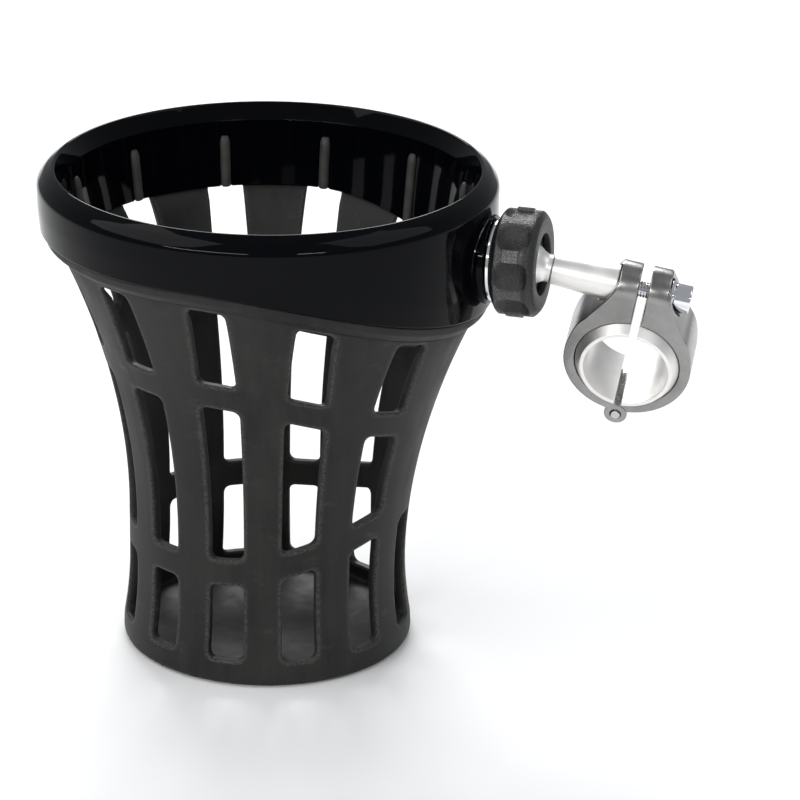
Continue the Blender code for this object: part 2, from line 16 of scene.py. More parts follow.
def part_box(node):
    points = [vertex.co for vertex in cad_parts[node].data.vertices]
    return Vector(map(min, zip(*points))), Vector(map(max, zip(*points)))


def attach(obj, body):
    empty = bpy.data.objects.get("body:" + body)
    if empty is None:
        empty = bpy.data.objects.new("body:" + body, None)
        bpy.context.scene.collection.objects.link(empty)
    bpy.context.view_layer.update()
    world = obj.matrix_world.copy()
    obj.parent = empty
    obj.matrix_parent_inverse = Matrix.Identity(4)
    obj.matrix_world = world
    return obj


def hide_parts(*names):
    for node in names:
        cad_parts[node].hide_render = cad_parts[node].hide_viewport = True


MM = 0.001

# Columns of slots, with a grip rib above each
COLUMNS = 12
COLUMN_STEP = 360.0 / COLUMNS

# Trim ring. Pairs are (radius, z) from the cup's axis and the crown.
SKIRT_DEPTH = 18.0
SKIRT_DROP = 20.0
SKIRT_REACH = 97.0
SKIRT_INNER = 66.4
SKIRT_FOOT = 68.6
LIP = 69.3
LIP_HEIGHT = -4.5
BEVEL = (67.1, -1.75)
CROWN = (64.1, 0.22)
INNER_EDGE = (61.45, -5.3)
THROAT_RADIUS = 61.2
LINER_TOP = -8.5
LINER_LAP = 8.0
LINER_FOOT = 58.9
LINER_WALL = 1.4
KEYWAY_HALF_ANGLE = 1.75
KEYWAY_DEPTH = 0.7
KEYWAY_TOP = -9.3
PAD_RADIUS = 13.4
PAD_FACE = 69.8
PAD_BACK = 65.0

# Basket
WAIST_RADIUS = 42.6
FLARE = 23.3
FLARE_LENGTH = 90.0
FLARE_POWER = 1.94
FOOT_FLARE = 2.1
FOOT_TOP = -125.0
FOOT_LENGTH = 22.0
FOOT_POWER = 1.9
BASE_HEIGHT = -151.6
BASE_ROUND = 4.4
FLOOR_HEIGHT = -148.6
WALL = 3.0
THIN_WALL = 1.7
THIN_DEPTH = 8.6
THICK_DEPTH = 11.0
RIM_TOP = -9.3
RIM_RADIUS = 66.0
GROOVE_DEPTH = 5.9
SLOT_TOP = 7.0
SLOT_HALF_ANGLE = 7.2
SLOT_TOP_HALF_ANGLE = 5.3
UPPER_SLOT_FOOT_HALF_ANGLE = 6.6
SLOT_CORNER = 2.1
SLOT_EDGE = 0.85
WEB_HALF_HEIGHT = 4.2
UPPER_WEB = -56.0
UPPER_WEB_DROP = 16.6
LOWER_WEB = -115.8
LOWER_WEB_RISE = 12.5
SLOT_FOOT = -143.6
WALL_FOOT = -145.7
SIDE_STEPS = (8, 12, 6)
END_STEPS = 6
CORNER_STEPS = 4

# Grip ribs
RIB_HALF_WIDTH = 1.6
RIB_PROUD = 1.3
RIB_TOP = -10.0
RIB_TAIL = 8.1
KNOB_RIB_TAIL = 7.7

# Ball joint, along the knob's axis from the ball's centre
BALL_OFFSET = 79.5
BALL_RADIUS = 7.0
POCKET_RADIUS = 8.4
BARREL_RADIUS = 11.6
BARREL_END = 1.0
FLANGE_RADIUS = 12.4
FLANGE_BACK = -9.4
FLANGE_FRONT = -8.2
SEAT_INNER = 7.2
SEAT_OUTER = 8.1
SEAT_HALF_ANGLE = 66.0
COLLET_BACK = 1.3
COLLET_FRONT = 3.4
COLLET_RADIUS = 11.4
COLLET_LIP = 6.75
SOCKET_SCREWS = 4
SOCKET_SCREW_CIRCLE = 10.0
SOCKET_SCREW_RADIUS = 1.0
SOCKET_SCREW_HEAD = 1.8
SOCKET_SCREW_TIP = -3.5
SOCKET_SCREW_HEXAGON = 0.85
KNOB_BACK = -7.6
KNOB_FRONT = 5.6
KNOB_STEP = 3.7
KNOB_BORE = 11.9
KNOB_MOUTH = 9.3
KNOB_LOBES = 8
KNOB_PHASE = 21.0
KNOB_CREST = 15.85
DIMPLE_DEPTH = 2.2
DIMPLE_HALF_ANGLE = 18.4
DIMPLE_HALF_LENGTH = 5.3
DIMPLE_CENTRE = -1.1
STUD_HALF_LENGTH = 2.3
STUD_HALF_ANGLE = 6.6
STUD_PROUD = 0.55
STUD_CENTRE = -1.3
STUD_SIDE = 0.35

# Arm and clamp
ARM_REACH = 36.0
ARM_BORE_RADIUS = 2.8
ARM_BORE_DEPTH = 12.0
NECK_RADIUS = 4.15
ROD_END_RADIUS = 5.7
SCREW_HEIGHT = 23.0
JAW_BORE = 15.9
JAW_RADIUS = 19.2
JAW_HALF_WIDTH = 8.0
JAW_EDGE = 0.55
EAR_RADIUS = 7.7
EAR_GAP = 1.5
EAR_FACE = 7.6
EAR_OUTLINE = ((7.6, 32.0), (7.6, 28.0), (8.6, 25.2), (10.4, 21.4), (12.8, 17.4), (15.2, 13.4))
EAR_CUTS = 14
SLOPE_CUTS = 6
BAND_CUTS = 40
BAND_START = 41.3
BAND_END = -88.2
BAND_FOOT_GAP = 0.6
SHOULDER_RISE = 1.06
ROD_POCKET = 6.1
WASHER_POCKET = 5.4
HINGE_DROP = 20.6
KNUCKLE_RADIUS = 3.5
KNUCKLE_HALF_WIDTH = 2.9
PIN_RADIUS = 1.5
LINER_BORE = 12.7
LINER_OUTER = 15.6
LINER_HALF_WIDTH = 11.0
LINER_TIP = 13.9
LINER_GAP = 1.1
LINER_STEPS = 56
SCREW_RADIUS = 2.5
SCREW_HOLE = 3.3
SCREW_TIP = -17.0
SCREW_PITCH = 0.8
THREAD_DEPTH = 0.42
THREAD_END = 5.0
SCREW_HEAD_RADIUS = 4.25
SCREW_HEAD_START = 9.3
SCREW_HEAD_END = 14.3
HEX_RADIUS = 2.3
HEX_DEPTH = 2.5
WASHER_RADIUS = 4.8
WASHER_HOLE = 2.8
WASHER_START = 7.9
WASHER_END = 9.0
CLEARANCE = 0.3

# Camera, from the middle of the cup's crown, with its angles in degrees
CAMERA_BACK = 1139.55
CAMERA_UP = 370.82
CAMERA_LENS = 180.0
CAMERA_SENSOR = 36.0
CAMERA_FALL = 21.38
CAMERA_YAW = 2.03
CAMERA_ROLL = 0.86

# Studio. Each light has its name, its place from the middle of the cup's crown in metres, its width,
# height, power in watts and colour, and is turned towards the crown.
FLOOR_HALF_WIDTH = 4.0
FLOOR_GAP = 0.0003
WORLD_STRENGTH = 0.34
LIGHTS = (
    ("left_box", (-0.95, -0.17, 1.16), 1.3, 1.0, 8.0, (1.0, 1.0, 1.0)),
    ("right_box", (0.93, -0.25, 1.16), 1.0, 0.9, 3.5, (0.96, 0.98, 1.0)),
    ("back_box", (-0.05, 1.5, 1.15), 1.1, 0.6, 30.0, (1.0, 1.0, 1.0)),
    ("front_bar", (-0.66, -1.10, 0.56), 1.0, 0.022, 6.5, (1.0, 0.99, 0.97)),
    ("front_box", (0.46, -1.20, 0.57), 0.32, 0.03, 2.4, (1.0, 1.0, 1.0)),
)

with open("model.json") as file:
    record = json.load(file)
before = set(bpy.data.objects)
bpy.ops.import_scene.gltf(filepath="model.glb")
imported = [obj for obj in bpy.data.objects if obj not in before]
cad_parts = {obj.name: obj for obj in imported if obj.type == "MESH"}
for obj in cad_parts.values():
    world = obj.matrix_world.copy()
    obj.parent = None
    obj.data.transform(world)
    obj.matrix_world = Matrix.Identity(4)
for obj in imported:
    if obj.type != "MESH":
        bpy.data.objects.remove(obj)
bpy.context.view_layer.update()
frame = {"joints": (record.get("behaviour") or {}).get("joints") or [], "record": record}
joints = {joint["name"]: joint for joint in frame["joints"]}
mounts = {mount["name"]: mount for mount in frame["record"]["mounts"]}


# Frames of the groups

def turn(axis, degrees):
    return Matrix.Rotation(math.radians(degrees), 4, axis)


def shift(x, y, z):
    return Matrix.Translation(Vector((x, y, z)) * MM)


def basis(x, y, z, origin):
    made = Matrix((x, y, z)).transposed().to_4x4()
    made.translation = origin
    return made


def group_frames():
    """Placement matrices, in metres: the clamp's x runs along the pinch screw and y along the bar."""
    screw_axis = Vector(joints["screw_turn"]["axis"]).normalized()
    bar_axis = Vector(joints["jaw_swing"]["axis"]).normalized()
    clamp = basis(screw_axis, bar_axis, screw_axis.cross(bar_axis), Vector((0.0, 0.0, 0.0)))
    ball = Vector(joints["ball_yaw"]["pos_m"])
    knob_axis = Vector(joints["knob_turn"]["axis"]).normalized()
    heading = math.degrees(math.atan2(knob_axis.y, knob_axis.x))
    along_x = turn("Y", 90.0)
    centre = Matrix.Translation(ball)
    cup = Matrix.Translation(Vector((*mounts["cup_floor"]["pos_m"][:2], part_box("trim_ring")[1].z)))
    return {
        "clamp": clamp,
        "screw": clamp @ shift(0.0, 0.0, SCREW_HEIGHT) @ along_x,
        "hinge": clamp @ shift(0.0, 0.0, -HINGE_DROP) @ turn("X", 90.0),
        "arm": centre @ clamp.to_3x3().to_4x4() @ along_x,
        "knob": centre @ turn("Z", heading) @ along_x,
        "cup": cup @ turn("Z", heading),
    }


# Mesh helpers

def mesh_piece(name, points, faces, placed, look, smooth_angle=40.0):
    """A piece from points in millimetres. Its place goes into its mesh, as in a CAD node."""
    mesh = bpy.data.meshes.new(name)
    mesh.from_pydata([placed @ (Vector(point) * MM) for point in points], [], faces)
    build = bmesh.new()
    build.from_mesh(mesh)
    bmesh.ops.remove_doubles(build, verts=build.verts, dist=2e-6)
    bmesh.ops.recalc_face_normals(build, faces=build.faces)
    build.to_mesh(mesh)
    build.free()
    mesh.shade_smooth()
    mesh.set_sharp_from_angle(angle=math.radians(smooth_angle))
    mesh.materials.append(look)
    made = bpy.data.objects.new(name, mesh)
    bpy.context.scene.collection.objects.link(made)
    return made


def combine(target, other, operation, smooth_angle=40.0):
    """Joins or cuts target with other, which is used up."""
    step = target.modifiers.new("step", "BOOLEAN")
    step.operation = operation
    step.solver = "EXACT"
    step.object = other
    graph = bpy.context.evaluated_depsgraph_get()
    made = bpy.data.meshes.new_from_object(target.evaluated_get(graph))
    target.modifiers.clear()
    target.data = made
    target.data.shade_smooth()
    target.data.set_sharp_from_angle(angle=math.radians(smooth_angle))
    bpy.data.objects.remove(other)
    return target


def install(made, body, slot, *nodes):
    """Hands a finished piece to the frame: it goes under its body's empty and the CAD nodes it stands for
    are hidden. slot is not used.
    """
    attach(made, body)
    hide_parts(*nodes)


def rounded(path, closed=False):
    """Points along a path of (u, v, radius) corners, each rounded by a curve about as tight as an
    arc of its radius."""
    count = len(path)
    points = []
    for k, (u, v, radius) in enumerate(path):
        if radius == 0.0 or (not closed and k in (0, count - 1)):
            points.append((u, v))
            continue
        here = Vector((u, v))
        back = Vector(path[k - 1][:2]) - here
        ahead = Vector(path[(k + 1) % count][:2]) - here
        opening = back.angle(ahead)
        if opening > math.radians(178.0):
            points.append((u, v))
            continue
        reach = min(radius / math.tan(opening / 2.0), 0.49 * back.length, 0.49 * ahead.length)
        start = here + back.normalized() * reach
        end = here + ahead.normalized() * reach
        steps = max(2, int(math.degrees(math.pi - opening) / 9.0))
        for step in range(steps + 1):
            t = step / steps
            mid = start * (1.0 - t) ** 2 + here * (2.0 * t * (1.0 - t)) + end * t ** 2
            points.append((mid.x, mid.y))
    return points


def ring_faces(rows, columns, closed_rows, closed_columns):
    """Quads over a grid of points laid out row by row."""
    faces = []
    for row in range(rows if closed_rows else rows - 1):
        low = row * columns
        high = (row + 1) % rows * columns
        for k in range(columns if closed_columns else columns - 1):
            after = (k + 1) % columns
            faces.append((low + k, low + after, high + after, high + k))
    return faces


def lathe(profile, segments=96):
    """Points and faces of a (radius, z) profile turned about Z. It starts and ends on the axis,
    or it is a closed loop clear of the axis."""
    on_axis = profile[0][0] == 0.0
    inner = profile[1:-1] if on_axis else profile
    points = []
    for radius, z in inner:
        for k in range(segments):
            angle = 2.0 * math.pi * k / segments
            points.append((radius * math.cos(angle), radius * math.sin(angle), z))
    faces = ring_faces(len(inner), segments, not on_axis, True)
    if on_axis:
        for row, z in ((0, profile[0][1]), (len(inner) - 1, profile[-1][1])):
            centre = len(points)
            points.append((0.0, 0.0, z))
            faces += [(centre, row * segments + k, row * segments + (k + 1) % segments)
                      for k in range(segments)]
    return points, faces


def rod(radius, start, end, edge=0.0, segments=48):
    path = [(0.0, start, 0.0), (radius, start, edge), (radius, end, edge), (0.0, end, 0.0)]
    return lathe(rounded(path), segments)


def ease(share):
    share = min(1.0, max(0.0, share))
    return share * share * (3.0 - 2.0 * share)


# The cup

def knob_side(angle):
    away = abs((angle + 180.0) % 360.0 - 180.0)
    if away >= SKIRT_REACH:
        return 0.0
    return 0.5 + 0.5 * math.cos(math.pi * away / SKIRT_REACH)


def skirt_edge(angle):
    return -SKIRT_DEPTH - SKIRT_DROP * knob_side(angle)


def wall_radius(angle, z):
    depth = skirt_edge(angle) - z
    flare = FLARE * max(0.0, 1.0 - depth / FLARE_LENGTH) ** FLARE_POWER
    foot = FOOT_FLARE * max(0.0, (FOOT_TOP - z) / FOOT_LENGTH) ** FOOT_POWER
    return WAIST_RADIUS + flare + foot


def wall_thickness(angle, z):
    depth = skirt_edge(angle) - z
    return THIN_WALL + (WALL - THIN_WALL) * ease((depth - THIN_DEPTH) / (THICK_DEPTH - THIN_DEPTH))


def throat_radius(angle, z):
    foot = skirt_edge(angle) - LINER_LAP
    share = (LINER_TOP - z) / (LINER_TOP - foot)
    return THROAT_RADIUS + (LINER_FOOT - THROAT_RADIUS) * min(1.0, max(0.0, share))


def round_the_cup(angle, radius, z):
    return (radius * math.cos(math.radians(angle)), radius * math.sin(math.radians(angle)), z)


def ring_section(angle, key):
    """The trim ring's section as a loop, up the outer side, over the crown and down the throat."""
    edge = skirt_edge(angle)
    foot = edge - LINER_LAP
    wall = throat_radius(angle, foot)
    path = [(SKIRT_INNER, edge, 0.25), (SKIRT_FOOT, edge, 0.6), (69.2, edge + 7.0, 20.0)]
    path += [(LIP, LIP_HEIGHT, 3.2), (*BEVEL, 5.0), (*CROWN, 0.9), (*INNER_EDGE, 0.5)]
    section = rounded([(SKIRT_INNER, LINER_TOP, 0.0), *path, (THROAT_RADIUS, LINER_TOP, 0.0)])
    section = section[1:]
    section.append((throat_radius(angle, KEYWAY_TOP + 0.2), KEYWAY_TOP + 0.2))
    for k in range(7):
        z = KEYWAY_TOP + (foot + 0.3 - KEYWAY_TOP) * k / 6
        section.append((throat_radius(angle, z) + key, z))
    section += [(wall + 0.3 + key, foot), (wall + LINER_WALL - 0.2, foot), (wall + LINER_WALL, foot + 0.3)]
    section += [(throat_radius(angle, LINER_TOP) + LINER_WALL, LINER_TOP), (SKIRT_INNER, LINER_TOP)]
    return section


def make_trim_ring(placed, knob_placed, look):
    key_edge = KEYWAY_HALF_ANGLE
    offsets = [-15.0, -13.0, -11.0, -9.0, -7.0, -5.2, -3.6, -2.5, -key_edge - 0.15, -key_edge]
    offsets += [-0.6, 0.6, key_edge, key_edge + 0.15, 2.5, 3.6, 5.2, 7.0, 9.0, 11.0, 13.0]
    points = []
    for column in range(COLUMNS):
        for offset in offsets:
            angle = column * COLUMN_STEP + offset
            section = ring_section(angle, KEYWAY_DEPTH if abs(offset) <= key_edge else 0.0)
            points += [round_the_cup(angle, radius, z) for radius, z in section]
    faces = ring_faces(COLUMNS * len(offsets), len(section), True, True)
    ring = mesh_piece("gloss_ring", points, faces, placed, look)
    back = PAD_BACK - BALL_OFFSET
    face = PAD_FACE - BALL_OFFSET
    pad = mesh_piece("pad", *rod(PAD_RADIUS, back, face, 0.5, 96), knob_placed, look)
    combine(ring, pad, "UNION")
    return ring


def slot_limits(span, angle):
    """Top and foot of a slot, and of the strip of wall that holds it, at an angle round the cup."""
    edge = skirt_edge(angle)
    upper = UPPER_WEB - UPPER_WEB_DROP * knob_side(angle)
    lower = LOWER_WEB + LOWER_WEB_RISE * knob_side(angle)
    tops = (edge - SLOT_TOP, upper - WEB_HALF_HEIGHT, lower - WEB_HALF_HEIGHT)
    feet = (upper + WEB_HALF_HEIGHT, lower + WEB_HALF_HEIGHT, SLOT_FOOT)
    borders = (edge - GROOVE_DEPTH, upper, lower, WALL_FOOT)
    return tops[span], feet[span], borders[span], borders[span + 1]


def slot_half_angle(span, down):
    """Half a slot's width in degrees, less in the top row where the wall flares out."""
    if span > 0:
        return SLOT_HALF_ANGLE
    return SLOT_TOP_HALF_ANGLE + (UPPER_SLOT_FOOT_HALF_ANGLE - SLOT_TOP_HALF_ANGLE) * down


def slot_loop(column, span, grow):
    """(angle, z) points round a slot, anticlockwise from the middle of its top left corner. grow
    moves the loop outwards, in millimetres."""
    middle = column * COLUMN_STEP
    side_steps = SIDE_STEPS[span]
    corner = SLOT_CORNER + grow

    def edge_point(across, down):
        """across runs from -1 to 1 over the slot, and down from 0 to 1."""
        rough = middle + across * slot_half_angle(span, down)
        top, foot, _, _ = slot_limits(span, rough)
        z = (top + grow) * (1.0 - down) + (foot - grow) * down
        half = slot_half_angle(span, down) + math.degrees(grow / wall_radius(rough, z))
        return middle + across * half, z

    top, foot, _, _ = slot_limits(span, middle)
    height = top - foot + 2.0 * grow
    width = 2.0 * (math.radians(slot_half_angle(span, 0.5)) * wall_radius(middle, 0.5 * (top + foot)) + grow)
    u = 2.0 * corner / width
    v = corner / height
    flat = []
    corners = ((-1.0, 0.0, 135.0), (-1.0, 1.0, 225.0), (1.0, 1.0, 315.0), (1.0, 0.0, 45.0))
    half_corner = CORNER_STEPS // 2
    for x, y, start in corners:
        centre = (x * (1.0 - u), y * (1.0 - v) + (1.0 - y) * v)
        arc = []
        for k in range(CORNER_STEPS + 1):
            a = math.radians(start - 45.0 + 90.0 * k / CORNER_STEPS)
            arc.append((centre[0] + u * math.cos(a), centre[1] - v * math.sin(a)))
        flat.append(arc)
    loop = []
    for number, steps in enumerate((side_steps, END_STEPS, side_steps, END_STEPS)):
        loop += flat[number][half_corner:]
        start = flat[number][-1]
        end = flat[(number + 1) % 4][0]
        for k in range(1, steps):
            t = k / steps
            loop.append((start[0] * (1.0 - t) + end[0] * t, start[1] * (1.0 - t) + end[1] * t))
        loop += flat[(number + 1) % 4][:half_corner]
    return [edge_point(across, down) for across, down in loop]


def border_loop(column, span):
    """(angle, z) points round the strip of wall that holds a slot, one for each in slot_loop."""
    down_steps = SIDE_STEPS[span] + CORNER_STEPS
    across_steps = END_STEPS + CORNER_STEPS
    flat = [(-1.0, k / down_steps) for k in range(down_steps)]
    flat += [(-1.0 + 2.0 * k / across_steps, 1.0) for k in range(across_steps)]
    flat += [(1.0, 1.0 - k / down_steps) for k in range(down_steps)]
    flat += [(1.0 - 2.0 * k / across_steps, 0.0) for k in range(across_steps)]
    loop = []
    for across, down in flat:
        angle = column * COLUMN_STEP + across * 0.5 * COLUMN_STEP
        _, _, top, foot = slot_limits(span, angle)
        loop.append((angle, top * (1.0 - down) + foot * down))
    return loop


def wall_point(angle, z, share):
    """A point of the wall, share of the way from its outer face to its inner one."""
    return round_the_cup(angle, wall_radius(angle, z) - share * wall_thickness(angle, z), z)


def slotted_cell(column, span):
    """One strip of wall with its slot: rings of points from the border, in over the rounded edge,
    through the slot and back out to the border on the inner face. Also how much each point is lightened, by
    edge wear and a painted highlight."""
    border = border_loop(column, span)
    rim = slot_loop(column, span, SLOT_EDGE)
    support = slot_loop(column, span, SLOT_EDGE + 0.25)
    skin = [border]
    for share in (0.3, 0.62, 0.86):
        skin.append([(a0 + (a1 - a0) * share, z0 + (z1 - z0) * share)
                     for (a0, z0), (a1, z1) in zip(border, support)])
    skin.append(support)
    skin.append(rim)
    rings = [[(*spot, 0.0) for spot in loop] for loop in skin]
    # Lighter on the slot's rounded edges: partly edge wear, partly a painted highlight.
    worn_and_highlighted = [0.0, 0.0, 0.0, 0.0, 0.5, 1.0]
    bend = []
    for k in (1, 2, 3, 4):
        a = math.radians(22.5 * k)
        loop = slot_loop(column, span, SLOT_EDGE * (1.0 - math.sin(a)))
        bend.append([(angle, z, (1.0 - math.cos(a)) * 0.28) for angle, z in loop])
    rings += bend
    rings.append([(angle, z, 0.5) for angle, z, _ in bend[-1]])
    rings += [[(angle, z, 1.0 - share) for angle, z, share in loop] for loop in reversed(bend)]
    rings += [[(*spot, 1.0) for spot in loop] for loop in reversed(skin)]
    worn_and_highlighted += [1.0, 1.0, 0.8, 0.5, 0.0, 0.0, 0.0, 0.3, 0.6, 0.5, 0.2, 0.0, 0.0, 0.0, 0.0]
    points = [wall_point(*spot) for loop in rings for spot in loop]
    wear_and_highlight = [value for loop, value in zip(rings, worn_and_highlighted) for _ in loop]
    return points, ring_faces(len(rings), len(border), False, True), wear_and_highlight


def plain_cell(column, span):
    """One strip of wall with no slot, as its outer and its inner face."""
    across_steps = END_STEPS + CORNER_STEPS
    down_steps = SIDE_STEPS[span] + CORNER_STEPS
    points = []
    faces = []
    for share in (0.0, 1.0):
        base = len(points)
        for row in range(down_steps + 1):
            for k in range(across_steps + 1):
                angle = column * COLUMN_STEP + (k / across_steps - 0.5) * COLUMN_STEP
                _, _, top, foot = slot_limits(span, angle)
                t = row / down_steps
                points.append(wall_point(angle, top * (1.0 - t) + foot * t, share))
        faces += [tuple(base + corner for corner in face)
                  for face in ring_faces(down_steps + 1, across_steps + 1, False, False)]
    return points, faces, [0.0] * len(points)


def basket_rim(angle):
    """(radius, z) from the wall's outer face, round the rubber bead and the rim, to its inner face."""
    edge = skirt_edge(angle)
    low = edge - GROOVE_DEPTH
    path = [(wall_radius(angle, low), low, 0.0), (63.0, edge - 5.45, 0.25), (64.5, edge - 5.1, 0.5)]
    path += [(66.9, edge - 3.0, 1.6), (67.5, edge - 0.35, 0.75), (RIM_RADIUS, edge - 0.3, 0.0)]
    path += [(RIM_RADIUS, RIM_TOP, 0.3), (throat_radius(angle, RIM_TOP) + 1.9, RIM_TOP, 0.3)]
    path.append((throat_radius(angle, low + 3.0) + 1.9, low + 3.0, 0.0))
    path.append((wall_radius(angle, low) - THIN_WALL, low, 0.0))
    return rounded(path)


def basket_base(angle):
    """(radius, z) from the wall's outer face, round the foot, to the axis; then the floor's."""
    outer = wall_radius(angle, WALL_FOOT)
    under = [(outer, WALL_FOOT, 0.0), (WAIST_RADIUS + FOOT_FLARE + 0.05, BASE_HEIGHT, BASE_ROUND)]
    under += [(39.0, BASE_HEIGHT, 0.0)]
    over = [(outer - WALL, WALL_FOOT, 0.0), (outer - WALL, FLOOR_HEIGHT, 2.0), (37.0, FLOOR_HEIGHT, 0.0)]
    spread = (0.8, 0.55, 0.3, 0.12)
    under_loop = rounded(under) + [(39.0 * share, BASE_HEIGHT) for share in spread]
    over_loop = rounded(over) + [(37.0 * share, FLOOR_HEIGHT) for share in spread]
    return under_loop, over_loop


def make_basket(placed, look):
    points = []
    faces = []
    wear_and_highlight = []

    def add(more_points, more_faces, more_wear_and_highlight):
        base = len(points)
        points.extend(more_points)
        wear_and_highlight.extend(more_wear_and_highlight)
        faces.extend(tuple(base + corner for corner in face) for face in more_faces)

    for column in range(COLUMNS):
        for span in range(3):
            if column == 0 and span < 2:
                add(*plain_cell(column, span))
            else:
                add(*slotted_cell(column, span))
    count = COLUMNS * (END_STEPS + CORNER_STEPS)
    angles = [360.0 * k / count - 0.5 * COLUMN_STEP for k in range(count)]
    rim = [[round_the_cup(angle, *spot) for spot in basket_rim(angle)] for angle in angles]
    rim_points = [point for line in rim for point in line]
    add(rim_points, ring_faces(count, len(rim[0]), True, False), [0.0] * len(rim_points))
    for side, height in ((0, BASE_HEIGHT), (1, FLOOR_HEIGHT)):
        lines = [[round_the_cup(angle, *spot) for spot in basket_base(angle)[side]] for angle in angles]
        size = len(lines[0])
        base_points = [point for line in lines for point in line]
        base_faces = ring_faces(count, size, True, False)
        centre = len(base_points)
        base_points.append((0.0, 0.0, height))
        base_faces += [(centre, k * size + size - 1, (k + 1) % count * size + size - 1)
                       for k in range(count)]
        add(base_points, base_faces, [0.0] * len(base_points))
    basket = mesh_piece("rubber_basket", points, faces, placed, look, 60.0)
    mark_wear_and_highlight(basket, points, wear_and_highlight, placed)
    notch = [(x, y, z) for z in (-36.9, 0.0) for x, y in ((50, -14), (70, -14), (70, 14), (50, 14))]
    sides = [(0, 1, 2, 3), (4, 7, 6, 5), (0, 4, 5, 1), (1, 5, 6, 2), (2, 6, 7, 3), (3, 7, 4, 0)]
    cutter = mesh_piece("notch", notch, sides, placed, look)
    return combine(basket, cutter, "DIFFERENCE", 60.0)


def mark_wear_and_highlight(made, points, wear_and_highlight, placed):
    """Stores how much each point is lightened, by wear and a painted highlight, for the finish to read."""
    wear_and_highlight_at = {}
    for point, value in zip(points, wear_and_highlight):
        spot = placed @ (Vector(point) * MM)
        wear_and_highlight_at[tuple(round(c, 5) for c in spot)] = value
    layer = made.data.attributes.new("wear_and_highlight", "FLOAT", "POINT")
    for k, vertex in enumerate(made.data.vertices):
        layer.data[k].value = wear_and_highlight_at.get(tuple(round(c, 5) for c in vertex.co), 0.0)


def make_grip_rib(number, placed, look):
    """A half-round rib with a domed top, standing in its keyway."""
    angle = (number - 1) * COLUMN_STEP
    foot = skirt_edge(angle) - (RIB_TAIL if number > 1 else KNOB_RIB_TAIL)
    levels = []
    for k in range(7):
        a = math.radians(15.0 * k)
        levels.append((RIB_TOP - 2.6 * (1.0 - math.cos(a)), max(0.1, math.sin(a))))
    top = levels[-1][0]
    levels += [(top + (foot + 1.1 - top) * k / 8, 1.0) for k in range(1, 9)]
    for k in range(1, 5):
        a = math.radians(22.5 * k)
        levels.append((foot + 1.1 * (1.0 - math.sin(a)), max(0.25, math.cos(a))))
    points = []
    size = 0
    for z, share in levels:
        wall = throat_radius(angle, z)
        back = wall + KEYWAY_DEPTH - CLEARANCE
        half = RIB_HALF_WIDTH * (0.45 + 0.55 * share)
        section = [(back, -half + 0.15), (back, half - 0.15), (back - 0.15, half)]
        for k in range(13):
            bow = math.radians(15.0 * k)
            section.append((wall - RIB_PROUD * share * math.sin(bow), half * math.cos(bow)))
        section.append((back - 0.15, -half))
        size = len(section)
        points += [(x, y, z) for x, y in section]
    faces = ring_faces(len(levels), size, False, True)
    faces += [tuple(range(size)), tuple(len(points) - 1 - k for k in range(size))]
    return mesh_piece("rubber_rib_%02d" % number, points, faces, placed @ turn("Z", angle), look, 50.0)


# The ball joint

def sphere_profile(radius, start, end, steps):
    """(radius, z) points on a sphere, by the angle from its -Z pole."""
    angles = [math.radians(start + (end - start) * k / steps) for k in range(steps + 1)]
    return [(radius * math.sin(angle), -radius * math.cos(angle)) for angle in angles]


def make_socket(placed, look):
    path = [(0.0, FLANGE_BACK, 0.0), (FLANGE_RADIUS, FLANGE_BACK, 0.3), (FLANGE_RADIUS, FLANGE_FRONT, 0.3)]
    path += [(BARREL_RADIUS, FLANGE_FRONT, 0.2), (BARREL_RADIUS, BARREL_END, 0.5)]
    path += [(POCKET_RADIUS, BARREL_END, 0.3), (POCKET_RADIUS, 0.0, 0.0)]
    profile = rounded(path)
    profile += list(reversed(sphere_profile(POCKET_RADIUS, 0.0, 88.0, 16)))
    profile[-1] = (0.0, -POCKET_RADIUS)
    return mesh_piece("chrome_socket", *lathe(profile), placed, look)


def make_ball_seat(placed, look):
    outer = sphere_profile(SEAT_OUTER, 0.0, SEAT_HALF_ANGLE, 14)
    inner = sphere_profile(SEAT_INNER, 0.0, SEAT_HALF_ANGLE, 14)
    return mesh_piece("nylon_seat", *lathe(outer + list(reversed(inner)), 64), placed, look)


def make_compression_ring(placed, look):
    path = [(COLLET_RADIUS, COLLET_BACK, 0.2), (COLLET_RADIUS, COLLET_FRONT, 0.3)]
    path += [(COLLET_LIP, COLLET_FRONT, 0.5), (7.2, 2.2, 0.4), (7.45, COLLET_BACK, 0.2)]
    return mesh_piece("grip_collet", *lathe(rounded(path, True)), placed, look)


def knob_radius(degrees, z):
    """Outer radius of the knob: round, with a closed thumb dimple between each two crests."""
    step = 360.0 / KNOB_LOBES
    away = (degrees + 0.5 * step) % step - 0.5 * step
    across = 0.5 * step - abs(away)
    along = abs(z - DIMPLE_CENTRE) / DIMPLE_HALF_LENGTH
    if along >= 1.0:
        return KNOB_CREST
    half = DIMPLE_HALF_ANGLE * (1.0 - along ** 3.0) ** 0.4
    if half < 0.5 or across >= half:
        return KNOB_CREST
    bowl = 1.0 - (across / half) ** 2
    return KNOB_CREST - DIMPLE_DEPTH * bowl * (1.0 - along ** 4.0)


